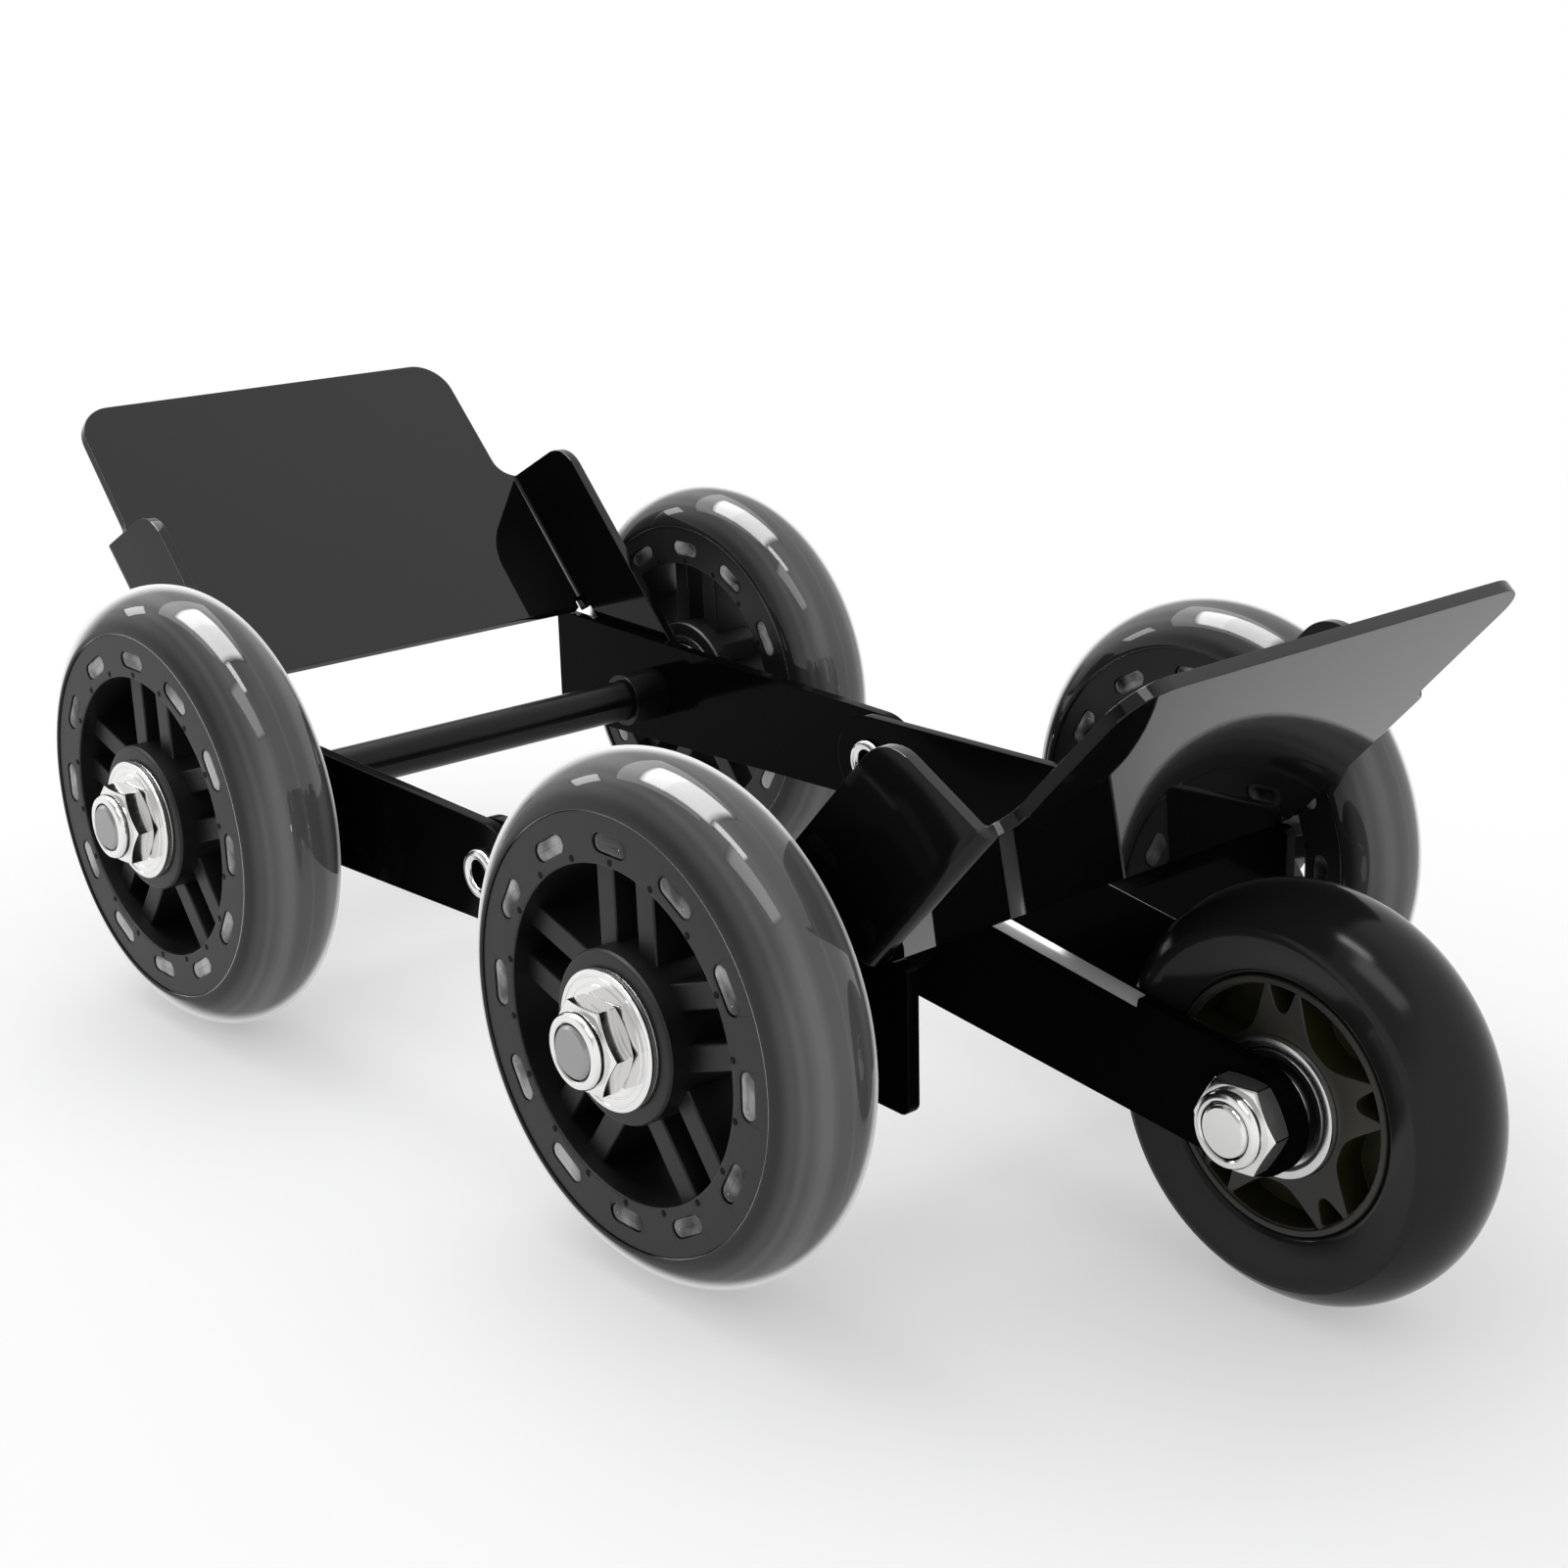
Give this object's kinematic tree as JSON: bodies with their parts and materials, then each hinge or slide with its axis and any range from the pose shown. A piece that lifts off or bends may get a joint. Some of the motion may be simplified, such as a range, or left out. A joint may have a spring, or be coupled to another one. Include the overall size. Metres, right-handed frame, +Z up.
{
  "type": "tire dolly",
  "caption": "Low folding dolly on rollers with sloped cradle plates that hold a parked motorcycle tyre, and a nose wheel on a swinging fork.",
  "frame": {"origin": "on the floor, at the middle of the dolly's length and width", "axes": "+X along the dolly towards the nose wheel, +Y across it, +Z up"},
  "size_m": [0.3838, 0.1958, 0.1248],
  "materials": {
    "black_paint": "glossy black powder coat on bent steel plate",
    "black_steel": "blackened steel, smooth",
    "chrome_hardware": "bright zinc and nickel plating",
    "bearing_steel": "polished bearing steel with dark shields",
    "smoke_urethane": "clear smoke-grey poured urethane, glossy",
    "hub_plastic": "black moulded nylon, satin",
    "nose_rubber": "black moulded rubber, slightly glossy",
    "olive_plastic": "very dark olive moulded nylon, satin"
  },
  "bodies": {
    "left_frame": {"left_axle": "black_steel", "left_arm_near": "black_paint", "left_arm_far": "black_paint", "left_collar_near": "black_steel", "left_collar_far": "black_steel", "left_bush_near": "black_steel", "left_bush_far": "black_steel", "left_washer_near": "chrome_hardware", "left_washer_far": "chrome_hardware", "left_nut_near": "chrome_hardware", "left_nut_far": "chrome_hardware", "hinge_pin_near": "chrome_hardware", "hinge_pin_far": "chrome_hardware"},
    "right_frame": {"right_axle": "black_steel", "right_arm_near": "black_paint", "right_arm_far": "black_paint", "right_tube_near": "black_steel", "right_tube_far": "black_steel", "right_pad_near": "black_steel", "right_pad_far": "black_steel", "right_bush_near": "black_steel", "right_bush_far": "black_steel", "right_washer_near": "chrome_hardware", "right_washer_far": "chrome_hardware", "right_nut_near": "chrome_hardware", "right_nut_far": "chrome_hardware"},
    "left_cradle": {"left_cradle": "black_paint"},
    "right_cradle": {"right_cradle": "black_paint"},
    "nose_fork": {"nose_fork": "black_paint", "nose_bolt": "chrome_hardware", "nose_nut": "chrome_hardware", "nose_spacer_near": "black_steel", "nose_spacer_far": "black_steel"},
    "wheel_left_near": {"tyre_left_near": "smoke_urethane", "hub_left_near": "hub_plastic", "bearing_a_left_near": "bearing_steel", "bearing_b_left_near": "bearing_steel", "sleeve_left_near": "bearing_steel"},
    "wheel_left_far": {"tyre_left_far": "smoke_urethane", "hub_left_far": "hub_plastic", "bearing_a_left_far": "bearing_steel", "bearing_b_left_far": "bearing_steel", "sleeve_left_far": "bearing_steel"},
    "wheel_right_near": {"tyre_right_near": "smoke_urethane", "hub_right_near": "hub_plastic", "bearing_a_right_near": "bearing_steel", "bearing_b_right_near": "bearing_steel", "sleeve_right_near": "bearing_steel"},
    "wheel_right_far": {"tyre_right_far": "smoke_urethane", "hub_right_far": "hub_plastic", "bearing_a_right_far": "bearing_steel", "bearing_b_right_far": "bearing_steel", "sleeve_right_far": "bearing_steel"},
    "wheel_nose": {"tyre_nose": "nose_rubber", "hub_nose": "olive_plastic", "bearing_a_nose": "bearing_steel", "bearing_b_nose": "bearing_steel", "sleeve_nose": "bearing_steel"}
  },
  "joints": [
    {"name": "fold", "type": "hinge", "parent": "left_frame", "child": "right_frame", "pos_m": [-0.01706, 0, 0.051], "axis": [0, 1, 0], "range_deg": [0, 80]},
    {"name": "left_flip", "type": "hinge", "parent": "left_frame", "child": "left_cradle", "pos_m": [-0.10206, 0, 0.05], "axis": [0, 1, 0], "range_deg": [0, 123]},
    {"name": "right_flip", "type": "hinge", "parent": "right_frame", "child": "right_cradle", "pos_m": [0.06794, 0, 0.05], "axis": [0, -1, 0], "range_deg": [0, 123]},
    {"name": "fork_swing", "type": "hinge", "parent": "right_frame", "child": "nose_fork", "pos_m": [0.06794, 0, 0.05], "axis": [0, 1, 0], "range_deg": [-9, 125]},
    {"name": "spin_left_near", "type": "hinge", "parent": "left_frame", "child": "wheel_left_near", "pos_m": [-0.10206, -0.0764, 0.05], "axis": [0, 1, 0], "continuous": true},
    {"name": "spin_left_far", "type": "hinge", "parent": "left_frame", "child": "wheel_left_far", "pos_m": [-0.10206, 0.0764, 0.05], "axis": [0, 1, 0], "continuous": true},
    {"name": "spin_right_near", "type": "hinge", "parent": "right_frame", "child": "wheel_right_near", "pos_m": [0.06794, -0.0764, 0.05], "axis": [0, 1, 0], "continuous": true},
    {"name": "spin_right_far", "type": "hinge", "parent": "right_frame", "child": "wheel_right_far", "pos_m": [0.06794, 0.0764, 0.05], "axis": [0, 1, 0], "continuous": true},
    {"name": "spin_nose", "type": "hinge", "parent": "nose_fork", "child": "wheel_nose", "pos_m": [0.15294, 0, 0.039], "axis": [0, 1, 0], "continuous": true}
  ]
}
